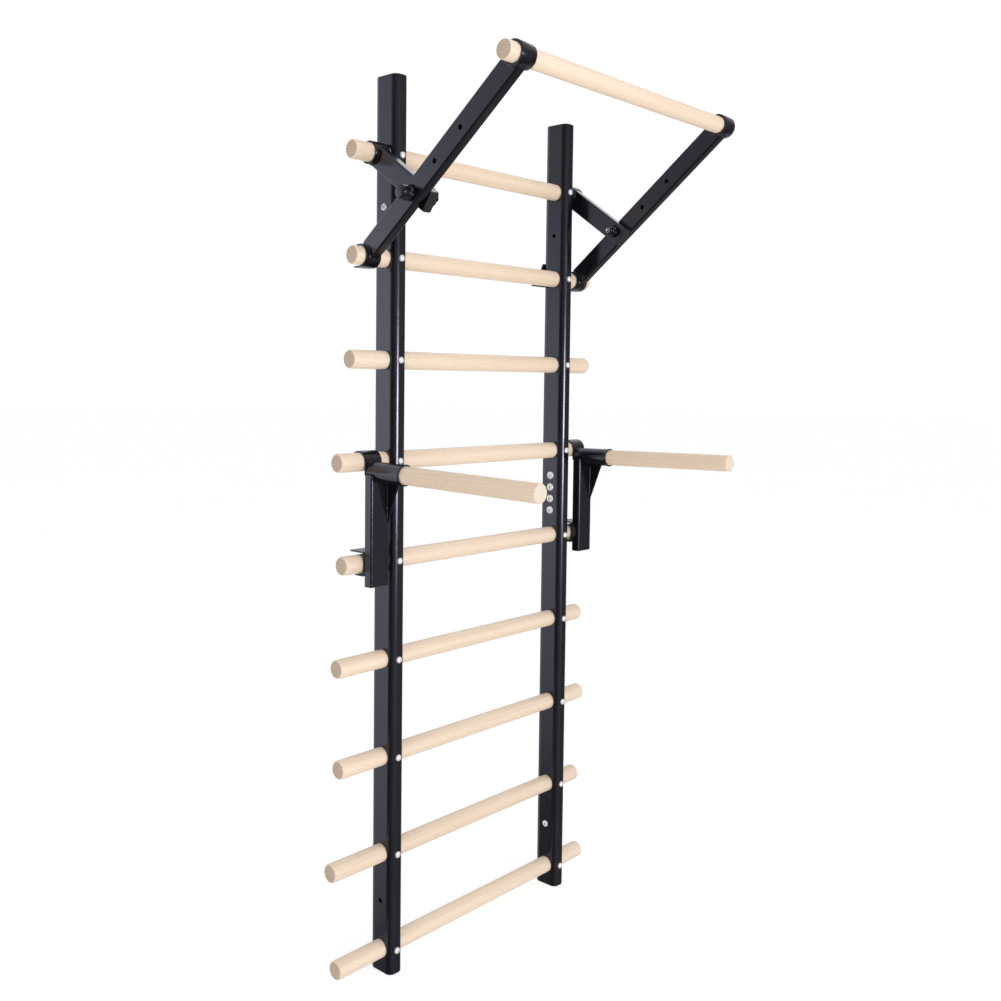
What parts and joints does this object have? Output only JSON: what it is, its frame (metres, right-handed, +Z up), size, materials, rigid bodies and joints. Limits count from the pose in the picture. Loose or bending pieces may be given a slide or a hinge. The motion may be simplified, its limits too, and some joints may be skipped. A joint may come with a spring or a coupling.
{
  "type": "swedish wall bars",
  "caption": "Wall-mounted exercise ladder of round wooden rungs through steel tube posts, with a hook-on pull-up bar and hook-on dip handles that swing up.",
  "frame": {"origin": "on the wall plane, midway between the posts, level with the lower ends of the posts", "axes": "+X to the right seen from the front, +Y into the wall, +Z up"},
  "size_m": [0.741, 0.4611, 1.714],
  "materials": {
    "black_paint": "glossy black powder coat",
    "wood": "pale beech, clear satin lacquer",
    "zinc": "bright zinc plating",
    "black_plastic": "fine satin"
  },
  "bodies": {
    "frame": {"post_left_lower": "black_paint", "post_left_upper": "black_paint", "splice_bolt_left_1": "zinc", "splice_bolt_left_2": "zinc", "splice_bolt_left_3": "zinc", "splice_bolt_left_4": "zinc", "rung_screw_left_1": "zinc", "rung_screw_left_2": "zinc", "rung_screw_left_3": "zinc", "rung_screw_left_4": "zinc", "rung_screw_left_5": "zinc", "rung_screw_left_6": "zinc", "rung_screw_left_7": "zinc", "rung_screw_left_8": "zinc", "rung_screw_left_9": "zinc", "wall_bracket_left_upper": "black_paint", "bracket_bolt_left_upper": "zinc", "wall_bracket_left_lower": "black_paint", "bracket_bolt_left_lower": "zinc", "post_right_lower": "black_paint", "post_right_upper": "black_paint", "splice_bolt_right_1": "zinc", "splice_bolt_right_2": "zinc", "splice_bolt_right_3": "zinc", "splice_bolt_right_4": "zinc", "rung_screw_right_1": "zinc", "rung_screw_right_2": "zinc", "rung_screw_right_3": "zinc", "rung_screw_right_4": "zinc", "rung_screw_right_5": "zinc", "rung_screw_right_6": "zinc", "rung_screw_right_7": "zinc", "rung_screw_right_8": "zinc", "rung_screw_right_9": "zinc", "wall_bracket_right_upper": "black_paint", "bracket_bolt_right_upper": "zinc", "wall_bracket_right_lower": "black_paint", "bracket_bolt_right_lower": "zinc", "rung_1": "wood", "rung_2": "wood", "rung_3": "wood", "rung_4": "wood", "rung_5": "wood", "rung_6": "wood", "rung_7": "wood", "rung_8": "wood", "rung_9": "wood"},
    "pullup_unit": {"pullup_arm_left": "black_paint", "pullup_brace_left": "black_paint", "clamp_bolt_left": "black_plastic", "pullup_arm_right": "black_paint", "pullup_brace_right": "black_paint", "clamp_bolt_right": "black_plastic", "pullup_bar": "wood"},
    "knob_left": {"clamp_knob_left": "black_plastic"},
    "knob_right": {"clamp_knob_right": "black_plastic"},
    "dip_left": {"dip_bracket_left": "black_paint", "dip_handle_left": "wood"},
    "dip_right": {"dip_bracket_right": "black_paint", "dip_handle_right": "wood"}
  },
  "joints": [
    {"name": "pullup_swing", "type": "hinge", "parent": "frame", "child": "pullup_unit", "pos_m": [0, -0.0343, 1.566], "axis": [-1, 0, 0], "range_deg": [0, 75]},
    {"name": "dip_swing_left", "type": "hinge", "parent": "frame", "child": "dip_left", "pos_m": [-0.308, -0.0343, 0.996], "axis": [-1, 0, 0], "range_deg": [0, 75]},
    {"name": "dip_swing_right", "type": "hinge", "parent": "frame", "child": "dip_right", "pos_m": [0.308, -0.0343, 0.996], "axis": [-1, 0, 0], "range_deg": [0, 75]},
    {"name": "knob_turn_left", "type": "hinge", "parent": "pullup_unit", "child": "knob_left", "pos_m": [-0.27, -0.16103, 1.47643], "axis": [1, 0, 0], "continuous": true},
    {"name": "knob_turn_right", "type": "hinge", "parent": "pullup_unit", "child": "knob_right", "pos_m": [0.27, -0.16103, 1.47643], "axis": [1, 0, 0], "continuous": true}
  ]
}
